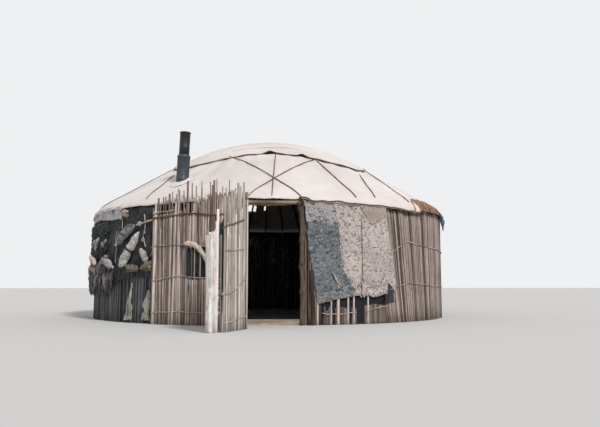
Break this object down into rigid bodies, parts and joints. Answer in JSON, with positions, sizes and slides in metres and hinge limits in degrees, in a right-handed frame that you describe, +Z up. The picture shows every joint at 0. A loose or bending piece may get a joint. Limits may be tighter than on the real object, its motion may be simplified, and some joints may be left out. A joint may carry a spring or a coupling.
{
  "type": "yurt",
  "caption": "Round nomad yurt with reed mat walls, a canvas roof over curved poles, a crown cover, hanging felts and a leaning stovepipe.",
  "frame": {"origin": "centre of the ring wall on the ground", "axes": "+Z up, -Y out of the doorway, +X to the right for someone facing the doorway"},
  "size_m": [6.0661, 7.3423, 3.0103],
  "materials": {
    "frame_wood": "satin",
    "reed": "matte",
    "canvas": "matte",
    "cap_canvas": "matte",
    "grey_felt": "matte",
    "beige_felt": "matte",
    "dark_felt": "matte",
    "fleece": "matte",
    "hide": "matte",
    "rope": "matte",
    "galvanised": "satin",
    "sooted_steel": "matte"
  },
  "bodies": {
    "root": {"crown_bars": "frame_wood", "crown_cover": "cap_canvas", "crown_ring": "frame_wood", "door_lintel": "frame_wood", "door_post_left": "frame_wood", "door_post_right": "frame_wood", "door_screen_mat": "reed", "door_sill": "frame_wood", "door_stake_right": "frame_wood", "eave_rope": "rope", "fleece_bundle": "fleece", "girth_ropes": "rope", "hide_bag_small": "hide", "hide_bag_striped": "hide", "hide_roll_upper": "hide", "hides_hung_left": "hide", "pipe_flap": "canvas", "reed_mat_left": "reed", "reed_mat_left_front": "reed", "reed_mat_rear": "reed", "reed_mat_right": "reed", "reed_mat_right_front": "reed", "roof_cover_front": "canvas", "roof_cover_left": "canvas", "roof_cover_rear": "canvas", "roof_cover_right": "canvas", "roof_poles_front": "frame_wood", "roof_poles_left": "frame_wood", "roof_poles_rear": "frame_wood", "roof_poles_right": "frame_wood", "roof_reed_layer_right": "reed", "roof_ropes_front": "rope", "roof_ropes_rear": "rope", "roof_ropes_sides": "rope", "stovepipe_lower": "galvanised", "stovepipe_upper": "sooted_steel", "trellis_1": "frame_wood", "trellis_2": "frame_wood", "trellis_3": "frame_wood", "trellis_4": "frame_wood", "trellis_5": "frame_wood", "trellis_6": "frame_wood", "trellis_7": "frame_wood", "trellis_8": "frame_wood", "wall_felt_grey": "grey_felt", "wall_felt_left": "dark_felt", "wall_felt_spotted": "beige_felt"}
  },
  "joints": []
}
